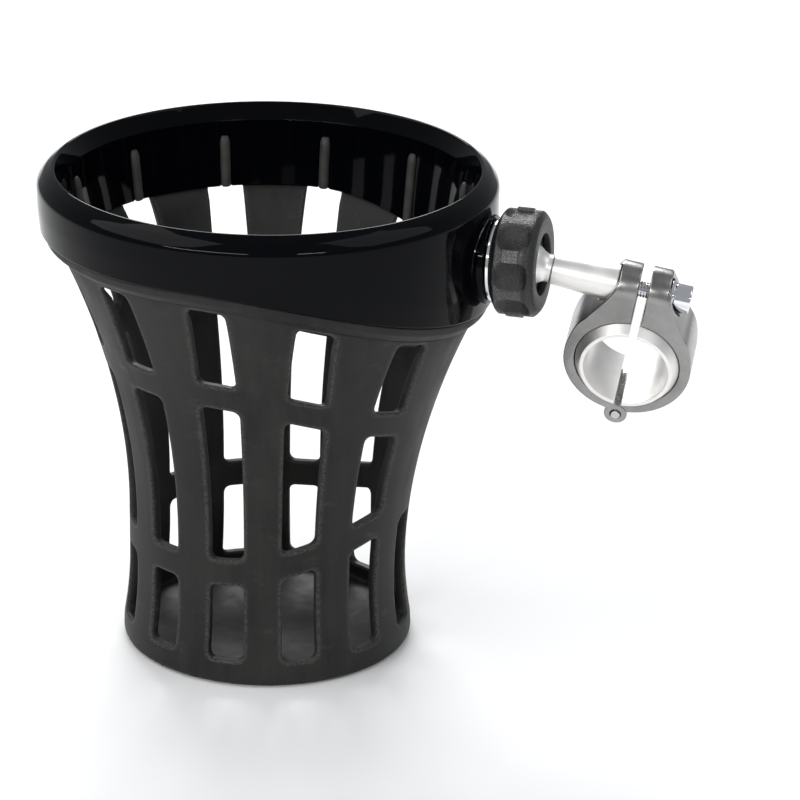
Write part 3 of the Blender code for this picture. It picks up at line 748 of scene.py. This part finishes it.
def make_knob(placed, look):
    """Grid lines run close together at the crests and at the studs' sides."""
    step = 360.0 / KNOB_LOBES
    side = math.degrees(STUD_SIDE / KNOB_CREST)
    offsets = [-22.5, -19.5, -16.5, -13.5, -11.0, -9.0, -STUD_HALF_ANGLE - side, -STUD_HALF_ANGLE]
    offsets += [-4.5, -2.0]
    offsets += [0.0, 2.0, 4.5, STUD_HALF_ANGLE, STUD_HALF_ANGLE + side, 9.0, 11.0, 13.5, 16.5, 19.5]
    stud_low = STUD_CENTRE - STUD_HALF_LENGTH
    stud_high = STUD_CENTRE + STUD_HALF_LENGTH
    heights = [-6.0, -5.6, -5.0, -4.4, stud_low - STUD_SIDE, stud_low, -2.6, -1.3, 0.0, stud_high]
    heights += [stud_high + STUD_SIDE, 2.0, 2.7, 3.4, 3.9]
    columns = [(lobe, offset) for lobe in range(KNOB_LOBES) for offset in offsets]
    rows = []
    for rise, inset in ((0.0, 2.1), (0.15, 1.8), (0.8, 0.75), (1.3, 0.2)):
        z = KNOB_BACK + rise
        rows.append([(knob_radius(lobe * step + offset, z) - inset, z) for lobe, offset in columns])
    for z in heights:
        row = []
        for lobe, offset in columns:
            radius = knob_radius(lobe * step + offset, z)
            on_stud = lobe % 2 == 1 and abs(offset) <= STUD_HALF_ANGLE and stud_low <= z <= stud_high
            row.append((KNOB_CREST + STUD_PROUD - 0.02 if on_stud else radius, z))
        rows.append(row)
    for fall, inset in ((1.4, 0.15), (0.9, 0.6), (0.2, 1.5), (0.0, 1.9)):
        rows.append([(KNOB_CREST - inset, KNOB_FRONT - fall)] * len(columns))
    inside = [(KNOB_CREST - 4.0, KNOB_FRONT), (KNOB_MOUTH + 0.4, KNOB_FRONT)]
    inside += [(KNOB_MOUTH + 0.1, KNOB_FRONT - 0.1), (KNOB_MOUTH, KNOB_FRONT - 0.4)]
    inside += [(KNOB_MOUTH, KNOB_STEP), (KNOB_BORE, KNOB_STEP)]
    inside += [(KNOB_BORE, KNOB_BACK + 0.3), (KNOB_BORE + 0.3, KNOB_BACK)]
    rows += [[spot] * len(columns) for spot in inside]
    points = []
    wear_and_highlight = []
    for row in rows:
        for (radius, z), (lobe, offset) in zip(row, columns):
            angle = math.radians(KNOB_PHASE + lobe * step + offset)
            points.append((radius * math.cos(angle), radius * math.sin(angle), z))
            # Crests and studs are marked to be painted lighter: a painted highlight.
            painted_highlight = ease((radius - KNOB_CREST + 0.7) / 0.6) * ease((2.6 - z) / 0.8) * ease((z + 6.4) / 0.8)
            wear_and_highlight.append(1.0 if radius > KNOB_CREST + 0.2 else 0.6 * painted_highlight)
    faces = ring_faces(len(rows), len(columns), True, True)
    knob = mesh_piece("grained_knob", points, faces, placed, look, 32.0)
    mark_wear_and_highlight(knob, points, wear_and_highlight, placed)
    return knob


def make_arm(placed, look):
    end = ARM_REACH - EAR_FACE - CLEARANCE
    profile = sphere_profile(BALL_RADIUS, 0.0, 132.0, 26)
    leaving = BALL_RADIUS * math.sqrt(0.5)
    neck = [(leaving, leaving, 0.0), (NECK_RADIUS, 6.4, 2.2), (NECK_RADIUS, 8.0, 0.3), (4.5, 8.4, 0.35)]
    neck += [(5.3, 21.0, 0.0), (ROD_END_RADIUS, end, 0.5), (ARM_BORE_RADIUS, end, 0.3)]
    neck += [(ARM_BORE_RADIUS, end - ARM_BORE_DEPTH, 0.0), (0.0, end - ARM_BORE_DEPTH - 1.2, 0.0)]
    return mesh_piece("satin_arm", *lathe(profile + rounded(neck)), placed, look)


# The clamp

def jaw_stations():
    """Cuts down a jaw from the ear to the foot: the inner and the outer edge of each, as (x, z),
    and its half width along the bar."""
    stations = []

    def ear_edge(z):
        for (x0, z0), (x1, z1) in zip(EAR_OUTLINE, EAR_OUTLINE[1:]):
            if z0 >= z >= z1:
                t = (z0 - z) / (z0 - z1)
                return x0 + (x1 - x0) * t
        return EAR_OUTLINE[-1][0]

    for k in range(EAR_CUTS + 1):
        a = math.radians(90.0 - 90.0 * k / EAR_CUTS)
        z = SCREW_HEIGHT + EAR_RADIUS * math.sin(a)
        stations.append(((EAR_GAP, z), (ear_edge(z), z), max(0.02, EAR_RADIUS * math.cos(a))))
    bore_start = math.degrees(math.acos(EAR_GAP / JAW_BORE))
    low = JAW_BORE * math.sin(math.radians(bore_start))
    for k in range(1, SLOPE_CUTS + 1):
        t = k / SLOPE_CUTS
        inner = (EAR_GAP, SCREW_HEIGHT + (low - SCREW_HEIGHT) * t)
        outer_z = SCREW_HEIGHT + (EAR_OUTLINE[-1][1] - SCREW_HEIGHT) * t
        stations.append((inner, (ear_edge(outer_z), outer_z), min(JAW_HALF_WIDTH, EAR_RADIUS + 0.3 * t)))
    stop = -90.0 + math.degrees(math.asin(BAND_FOOT_GAP / JAW_BORE))
    for k in range(1, BAND_CUTS + 1):
        t = k / BAND_CUTS
        a = math.radians(bore_start + (stop - bore_start) * t)
        b = math.radians(BAND_START + (BAND_END - BAND_START) * t)
        reach = JAW_RADIUS + SHOULDER_RISE * (1.0 - ease(4.0 * t))
        stations.append(((JAW_BORE * math.cos(a), JAW_BORE * math.sin(a)),
                         (reach * math.cos(b), reach * math.sin(b)), JAW_HALF_WIDTH))
    return stations


def jaw_section(inner, outer, half):
    """A rounded rectangle from the inner edge to the outer one, half wide each way along the bar."""
    start = Vector(inner)
    span = Vector(outer) - start
    edge = min(JAW_EDGE, 0.9 * half)
    corners = [(0.0, -half), (span.length, -half), (span.length, half), (0.0, half)]
    loop = []
    for number, (u, y) in enumerate(corners):
        inset = Vector((edge if u == 0.0 else -edge, edge if y < 0.0 else -edge))
        for k in range(5):
            a = math.radians(180.0 + 90.0 * number + 22.5 * k)
            loop.append((u + inset.x + edge * math.cos(a), y + inset.y + edge * math.sin(a)))
    points = []
    for u, y in loop:
        spot = start + span.normalized() * u
        points.append((spot.x, y, spot.y))
    return points


def make_jaw(name, side, placed, look):
    """side is 1 for the swinging jaw, with the middle knuckle, and -1 for the fixed one, with two."""
    stations = [jaw_section(*station) for station in jaw_stations()]
    size = len(stations[0])
    points = [(side * x, y, z) for station in stations for x, y, z in station]
    faces = ring_faces(len(stations), size, False, True)
    faces += [tuple(range(size)), tuple(len(points) - 1 - k for k in range(size))]
    jaw = mesh_piece(name, points, faces, placed, look)
    hinge = placed @ shift(0.0, 0.0, -HINGE_DROP) @ turn("X", 90.0)
    screw = placed @ shift(0.0, 0.0, SCREW_HEIGHT) @ turn("Y", 90.0)
    half = JAW_HALF_WIDTH
    inner = KNUCKLE_HALF_WIDTH
    joint = inner + 0.5 * CLEARANCE
    own = [(-inner, inner)]
    other = [(-half - 1.0, -joint), (joint, half + 1.0)]
    if side < 0:
        own = [(0.2 - half, -inner - CLEARANCE), (inner + CLEARANCE, half - 0.2)]
        other = [(-joint, joint)]
    for start, end in other:
        space = mesh_piece("space", *rod(KNUCKLE_RADIUS + CLEARANCE, start, end), hinge, look)
        combine(jaw, space, "DIFFERENCE")
    for start, end in own:
        combine(jaw, mesh_piece("knuckle", *rod(KNUCKLE_RADIUS, start, end, 0.3), hinge, look), "UNION")
    beyond = 24.0
    cuts = [(rod(PIN_RADIUS + CLEARANCE, -half - 1.0, half + 1.0), hinge)]
    cuts.append((rod(SCREW_HOLE, -beyond, beyond), screw))
    pocket = WASHER_POCKET if side > 0 else ROD_POCKET
    start, end = sorted((side * EAR_FACE, side * beyond))
    cuts.append((rod(pocket, start, end, 0.0, 72), screw))
    for shape, place in cuts:
        combine(jaw, mesh_piece("cut", *shape, place, look), "DIFFERENCE")
    return jaw


def make_liner(name, side, placed, look):
    """Half of the sleeve: a rounded section along the bar, swept round a half turn."""
    path = [(LINER_TIP, LINER_HALF_WIDTH, 0.3), (LINER_OUTER - 0.3, JAW_HALF_WIDTH + 0.5, 0.5)]
    path += [(LINER_OUTER, JAW_HALF_WIDTH, 0.2), (LINER_OUTER, -JAW_HALF_WIDTH, 0.2)]
    path += [(LINER_OUTER - 0.3, -JAW_HALF_WIDTH - 0.5, 0.5), (LINER_TIP, -LINER_HALF_WIDTH, 0.3)]
    path += [(LINER_BORE, -LINER_HALF_WIDTH, 0.3), (LINER_BORE, LINER_HALF_WIDTH, 0.3)]
    section = rounded(path, True)
    start = math.degrees(math.asin(LINER_GAP / LINER_BORE))
    points = []
    for k in range(LINER_STEPS + 1):
        a = math.radians(-90.0 + start + (180.0 - 2.0 * start) * k / LINER_STEPS)
        points += [(side * r * math.cos(a), y, r * math.sin(a)) for r, y in section]
    size = len(section)
    faces = ring_faces(LINER_STEPS + 1, size, False, True)
    faces += [tuple(range(size)), tuple(len(points) - 1 - k for k in range(size))]
    return mesh_piece(name, points, faces, placed, look)


def make_pinch_screw(placed, look):
    """An M5 cap screw with a helical thread that fades out at both ends, and a hexagon socket."""
    segments = 48
    rows = []
    z = SCREW_TIP + 0.1
    while z < THREAD_END + 1.0:
        rows.append(z)
        z += SCREW_PITCH / 8.0
    points = [(0.0, 0.0, SCREW_TIP)]
    for z in rows:
        fade = ease((z - SCREW_TIP + 0.2) / 0.8) * (1.0 - ease((z - THREAD_END + 0.4) / 0.8))
        for k in range(segments):
            a = 2.0 * math.pi * k / segments
            phase = (z / SCREW_PITCH - k / segments) % 1.0
            chamfer = 0.35 if z < SCREW_TIP + 0.2 else 0.0
            radius = SCREW_RADIUS - THREAD_DEPTH * fade * abs(2.0 * phase - 1.0) - chamfer
            points.append((radius * math.cos(a), radius * math.sin(a), z))
    path = [(SCREW_RADIUS, THREAD_END + 1.2, 0.0), (SCREW_RADIUS, SCREW_HEAD_START, 0.0)]
    path += [(SCREW_HEAD_RADIUS, SCREW_HEAD_START, 0.2), (SCREW_HEAD_RADIUS, SCREW_HEAD_END, 0.55)]
    top = rounded([*path, (0.0, SCREW_HEAD_END, 0.0)])
    for radius, z in top[:-1]:
        for k in range(segments):
            a = 2.0 * math.pi * k / segments
            points.append((radius * math.cos(a), radius * math.sin(a), z))
    grid = [tuple(1 + corner for corner in face)
            for face in ring_faces(len(rows) + len(top) - 1, segments, False, True)]
    grid += [(0, 1 + k, 1 + (k + 1) % segments) for k in range(segments)]
    grid.append(tuple(len(points) - segments + k for k in range(segments)))
    screw = mesh_piece("cap_screw", points, grid, placed, look)
    socket = rod(HEX_RADIUS, SCREW_HEAD_END - HEX_DEPTH, SCREW_HEAD_END + 1.0, 0.0, 6)
    return combine(screw, mesh_piece("hexagon", *socket, placed, look), "DIFFERENCE")


def make_lock_washer(placed, look):
    path = [(WASHER_RADIUS, WASHER_START, 0.2), (WASHER_RADIUS, WASHER_END, 0.2)]
    path += [(WASHER_HOLE, WASHER_END, 0.15), (WASHER_HOLE, WASHER_START, 0.15)]
    return mesh_piece("plated_washer", *lathe(rounded(path, True)), placed, look)


def make_hinge_pin(placed, look):
    half = JAW_HALF_WIDTH + 0.4
    return mesh_piece("clamp_pin", *rod(PIN_RADIUS, -half, half, 0.45), placed, look)


def make_socket_screw(number, placed, look):
    """A small cap screw that holds the socket to the ring, with a hexagon in its head."""
    back = PAD_BACK - BALL_OFFSET
    angle = math.radians(45.0 + 360.0 / SOCKET_SCREWS * (number - 1))
    across = SOCKET_SCREW_CIRCLE * math.cos(angle)
    along = SOCKET_SCREW_CIRCLE * math.sin(angle)
    spot = placed @ shift(across, along, 0.0)
    head = SOCKET_SCREW_HEAD
    shank = SOCKET_SCREW_RADIUS
    tip = SOCKET_SCREW_TIP
    path = [(0.0, back + 0.3, 0.0), (head, back + 0.3, 0.3), (head, back + 1.6, 0.1)]
    path += [(shank, back + 1.6, 0.0), (shank, tip - 0.2, 0.0), (shank - 0.3, tip, 0.0), (0.0, tip, 0.0)]
    screw = mesh_piece("mount_screw_%d" % number, *lathe(rounded(path), 32), spot, look)
    socket = rod(SOCKET_SCREW_HEXAGON, back - 1.0, back + 0.9, 0.0, 6)
    return combine(screw, mesh_piece("hexagon", *socket, spot, look), "DIFFERENCE")


# Finishes

class Finish:
    """A Principled material with a few helpers for procedural nodes, in metres on the piece."""

    def __init__(self, name, color, roughness, metallic=0.0):
        self.made = bpy.data.materials.new(name)
        self.made.use_nodes = True
        self.nodes = self.made.node_tree.nodes
        self.links = self.made.node_tree.links
        self.shader = self.nodes["Principled BSDF"]
        self.shader.inputs["Base Color"].default_value = (*color, 1.0)
        self.shader.inputs["Roughness"].default_value = roughness
        self.shader.inputs["Metallic"].default_value = metallic
        self.place = self.nodes.new("ShaderNodeTexCoord").outputs["Object"]
        self.height = None

    def stretched(self, x, y, z):
        node = self.nodes.new("ShaderNodeMapping")
        node.inputs["Scale"].default_value = (x, y, z)
        self.links.new(self.place, node.inputs["Vector"])
        return node.outputs["Vector"]

    def noise(self, scale, detail=3.0, rough=0.55, place=None):
        node = self.nodes.new("ShaderNodeTexNoise")
        node.inputs["Scale"].default_value = scale
        node.inputs["Detail"].default_value = detail
        node.inputs["Roughness"].default_value = rough
        self.links.new(place or self.place, node.inputs["Vector"])
        return node.outputs["Fac"]

    def cells(self, scale):
        node = self.nodes.new("ShaderNodeTexVoronoi")
        node.inputs["Scale"].default_value = scale
        self.links.new(self.place, node.inputs["Vector"])
        return node

    def mapped(self, value, low, high, to_low, to_high):
        node = self.nodes.new("ShaderNodeMapRange")
        node.inputs["From Min"].default_value = low
        node.inputs["From Max"].default_value = high
        node.inputs["To Min"].default_value = to_low
        node.inputs["To Max"].default_value = to_high
        self.links.new(value, node.inputs["Value"])
        return node.outputs["Result"]

    def math(self, operation, a, b):
        node = self.nodes.new("ShaderNodeMath")
        node.operation = operation
        for socket, value in zip(node.inputs, (a, b)):
            if isinstance(value, (int, float)):
                socket.default_value = value
            else:
                self.links.new(value, socket)
        return node.outputs["Value"]

    def blend(self, share, low, high):
        node = self.nodes.new("ShaderNodeMix")
        node.data_type = "RGBA"
        self.links.new(share, node.inputs["Factor"])
        for socket, value in ((node.inputs[6], low), (node.inputs[7], high)):
            if isinstance(value, tuple):
                socket.default_value = (*value, 1.0)
            else:
                self.links.new(value, socket)
        return node.outputs[2]

    def bump(self, height, depth, strength=1.0):
        """Adds relief of the given depth in metres, over any added before."""
        node = self.nodes.new("ShaderNodeBump")
        node.inputs["Strength"].default_value = strength
        node.inputs["Distance"].default_value = depth
        self.links.new(height, node.inputs["Height"])
        if self.height is not None:
            self.links.new(self.height, node.inputs["Normal"])
        self.height = node.outputs["Normal"]
        self.links.new(self.height, self.shader.inputs["Normal"])

    # The stored lightening of edges and crests: partly wear, partly a painted highlight.
    def worn_and_highlighted(self):
        node = self.nodes.new("ShaderNodeAttribute")
        node.attribute_name = "wear_and_highlight"
        return node.outputs["Fac"]

    def drive(self, value, socket):
        self.links.new(value, self.shader.inputs[socket])


def gloss_black():
    look = Finish("gloss_black", (0.0010, 0.0012, 0.0020), 0.05)
    look.shader.inputs["IOR"].default_value = 1.19
    look.drive(look.mapped(look.noise(55.0, 4.0), 0.35, 0.75, 0.035, 0.075), "Roughness")
    look.bump(look.noise(38.0, 2.0), 0.00006, 0.35)
    return look.made


def moulded_rubber():
    look = Finish("moulded_rubber", (0.026, 0.026, 0.025), 0.6)
    look.shader.inputs["Specular IOR Level"].default_value = 0.26
    clouds = look.noise(34.0, 5.0, 0.6)
    streaks = look.noise(1.0, 4.0, 0.6, look.stretched(240.0, 240.0, 14.0))
    specks = look.noise(1500.0, 2.0)
    tone = look.math("ADD", look.math("MULTIPLY", clouds, 0.55), look.math("MULTIPLY", streaks, 0.45))
    tone = look.mapped(tone, 0.40, 0.62, 0.0, 1.0)
    base = look.blend(tone, (0.0075, 0.0075, 0.0072), (0.0215, 0.0215, 0.0200))
    scuffs = look.noise(60.0, 6.0, 0.7, look.stretched(1.0, 1.0, 3.0))
    scuffs = look.mapped(scuffs, 0.60, 0.70, 0.0, 0.55)
    base = look.blend(scuffs, base, (0.042, 0.041, 0.039))
    # Slot edges lightened in specks: partly edge wear, partly a painted highlight.
    worn_and_highlighted = look.math("MULTIPLY", look.worn_and_highlighted(), look.mapped(specks, 0.4, 0.62, 0.15, 1.0))
    base = look.blend(worn_and_highlighted, base, (0.052, 0.050, 0.047))
    look.drive(base, "Base Color")
    look.drive(look.mapped(tone, 0.0, 1.0, 0.50, 0.68), "Roughness")
    look.bump(look.noise(2600.0, 2.0), 0.00004, 0.5)
    look.bump(look.noise(120.0, 3.0), 0.00012, 0.35)
    return look.made


def rib_rubber():
    look = Finish("rib_rubber", (0.034, 0.034, 0.033), 0.6)
    tone = look.mapped(look.noise(260.0, 4.0), 0.35, 0.68, 0.0, 1.0)
    look.drive(look.blend(tone, (0.020, 0.020, 0.0195), (0.038, 0.037, 0.035)), "Base Color")
    look.drive(look.mapped(tone, 0.0, 1.0, 0.48, 0.66), "Roughness")
    look.bump(look.noise(2200.0, 2.0), 0.00005, 0.6)
    return look.made


def knob_grain(name="knob_grain", depth=0.00016):
    look = Finish(name, (0.014, 0.014, 0.015), 0.4)
    grain = look.cells(2100.0)
    sparkle = look.mapped(look.noise(2600.0, 3.0, 0.7), 0.45, 0.75, 0.0, 1.0)
    plain_grain = look.blend(sparkle, (0.008, 0.008, 0.0085), (0.024, 0.024, 0.025))
    # Crests and studs painted lighter: a painted highlight.
    painted_highlight = look.blend(sparkle, (0.050, 0.050, 0.050), (0.30, 0.29, 0.28))
    look.drive(look.blend(look.worn_and_highlighted(), plain_grain, painted_highlight), "Base Color")
    look.drive(look.mapped(sparkle, 0.0, 1.0, 0.48, 0.26), "Roughness")
    look.bump(grain.outputs["Distance"], depth, 1.0)
    return look.made


def satin_metal(name, low, high, rough_low, rough_high):
    look = Finish(name, high, 0.3, 1.0)
    clouds = look.noise(70.0, 3.0)
    tone = look.mapped(clouds, 0.35, 0.65, 0.0, 1.0)
    look.drive(look.blend(tone, low, high), "Base Color")
    look.drive(look.mapped(look.noise(140.0, 2.0), 0.35, 0.7, rough_low, rough_high), "Roughness")
    return look.made


def plated(name, color, rough):
    look = Finish(name, color, rough, 1.0)
    look.drive(look.mapped(look.noise(160.0, 4.0), 0.35, 0.7, rough * 0.7, rough * 1.6), "Roughness")
    return look.made


def nylon():
    look = Finish("nylon", (0.70, 0.69, 0.65), 0.4)
    tone = look.mapped(look.noise(300.0, 3.0), 0.3, 0.7, 0.0, 1.0)
    look.drive(look.blend(tone, (0.62, 0.61, 0.57), (0.74, 0.73, 0.69)), "Base Color")
    look.bump(look.noise(1200.0, 2.0), 0.00003, 0.4)
    return look.made


# Building the pieces

def build_pieces(placed):
    gloss = gloss_black()
    rubber = moulded_rubber()
    soft = rib_rubber()
    grain = knob_grain()
    collet_grain = knob_grain("collet_grain", 0.00004)
    satin = satin_metal("satin_aluminium", (0.90, 0.885, 0.86), (0.96, 0.945, 0.925), 0.40, 0.48)
    pearl = satin_metal("pearl_aluminium", (0.27, 0.265, 0.26), (0.36, 0.355, 0.35), 0.24, 0.32)
    chrome = plated("bright_chrome", (0.88, 0.89, 0.91), 0.09)
    steel = plated("zinc_steel", (0.55, 0.55, 0.56), 0.22)

    install(make_trim_ring(placed["cup"], placed["knob"], gloss), "holder", "gloss_black", "trim_ring")
    install(make_basket(placed["cup"], rubber), "holder", "soft_black", "basket")
    for number in range(1, COLUMNS + 1):
        rib = make_grip_rib(number, placed["cup"], soft)
        install(rib, "holder", "rib_rubber", "grip_rib_%02d" % number)
    install(make_socket(placed["knob"], chrome), "holder", "chrome", "socket_body")
    for number in range(1, SOCKET_SCREWS + 1):
        screw = make_socket_screw(number, placed["knob"], steel)
        install(screw, "holder", "steel", "socket_screw_%d" % number)
    install(make_ball_seat(placed["knob"], nylon()), "seat", "nylon", "ball_seat")
    collet = make_compression_ring(placed["knob"], collet_grain)
    install(collet, "collet", "knob_black", "compression_ring")
    install(make_knob(placed["knob"], grain), "knob", "knob_black", "knob")
    install(make_arm(placed["arm"], satin), "arm", "satin_aluminium", "arm")
    halves = (("fixed", -1, "clamp"), ("swing", 1, "swing_jaw"))
    for half, side, body in halves:
        jaw = make_jaw("pearl_jaw_" + half, side, placed["clamp"], pearl)
        install(jaw, body, "pearl_aluminium", half + "_jaw")
    install(make_hinge_pin(placed["hinge"], steel), "clamp", "steel", "hinge_pin")
    for half, side, body in halves:
        liner = make_liner("sleeve_" + half, side, placed["clamp"], satin)
        install(liner, body, "satin_aluminium", half + "_liner")
    install(make_pinch_screw(placed["screw"], chrome), "screw", "chrome", "pinch_screw")
    install(make_lock_washer(placed["screw"], chrome), "washer", "chrome", "lock_washer")


# The studio

def make_floor(height):
    mesh = bpy.data.meshes.new("floor")
    half = FLOOR_HALF_WIDTH
    corners = [(x, y, height) for x, y in ((-half, -half), (half, -half), (half, half), (-half, half))]
    mesh.from_pydata(corners, [], [(0, 1, 2, 3)])
    look = Finish("floor", (0.92, 0.92, 0.92), 0.7)
    look.shader.inputs["Specular IOR Level"].default_value = 0.1
    mesh.materials.append(look.made)
    floor = bpy.data.objects.new("floor", mesh)
    bpy.context.scene.collection.objects.link(floor)


def make_light(name, place, target, width, height, power, color):
    data = bpy.data.lights.new(name, "AREA")
    data.shape = "RECTANGLE"
    data.size = width
    data.size_y = height
    data.energy = power
    data.color = color
    light = bpy.data.objects.new(name, data)
    light.location = place
    light.rotation_euler = (Vector(target) - Vector(place)).to_track_quat("-Z", "Y").to_euler()
    bpy.context.scene.collection.objects.link(light)


def make_world():
    world = bpy.data.worlds.new("studio")
    world.use_nodes = True
    shade = world.node_tree.nodes["Background"]
    shade.inputs["Color"].default_value = (0.93, 0.96, 1.0, 1.0)
    shade.inputs["Strength"].default_value = WORLD_STRENGTH
    bpy.context.scene.world = world


def make_camera(cup):
    fall = math.radians(CAMERA_FALL)
    yaw = math.radians(CAMERA_YAW)
    roll = math.radians(CAMERA_ROLL)
    ahead = Vector((math.sin(yaw) * math.cos(fall), math.cos(yaw) * math.cos(fall), -math.sin(fall)))
    right = Vector((math.cos(yaw), -math.sin(yaw), 0.0))
    up = right.cross(ahead)
    level = right * math.cos(roll) + up * math.sin(roll)
    upright = up * math.cos(roll) - right * math.sin(roll)
    data = bpy.data.cameras.new("camera")
    data.lens = CAMERA_LENS
    data.sensor_width = CAMERA_SENSOR
    data.clip_start = 0.01
    camera = bpy.data.objects.new("camera", data)
    place = cup + Vector((0.0, -CAMERA_BACK, CAMERA_UP)) * MM
    camera.matrix_world = basis(level, upright, -ahead, place)
    bpy.context.scene.collection.objects.link(camera)
    bpy.context.scene.camera = camera


placed = group_frames()
cup_centre = placed["cup"].to_translation()
make_camera(cup_centre)
build_pieces(placed)
make_floor(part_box("basket")[0].z - FLOOR_GAP)
make_world()
bpy.context.scene.view_settings.view_transform = "Standard"
for light_name, place, width, height, power, color in LIGHTS:
    make_light(light_name, cup_centre + Vector(place), cup_centre, width, height, power, color)
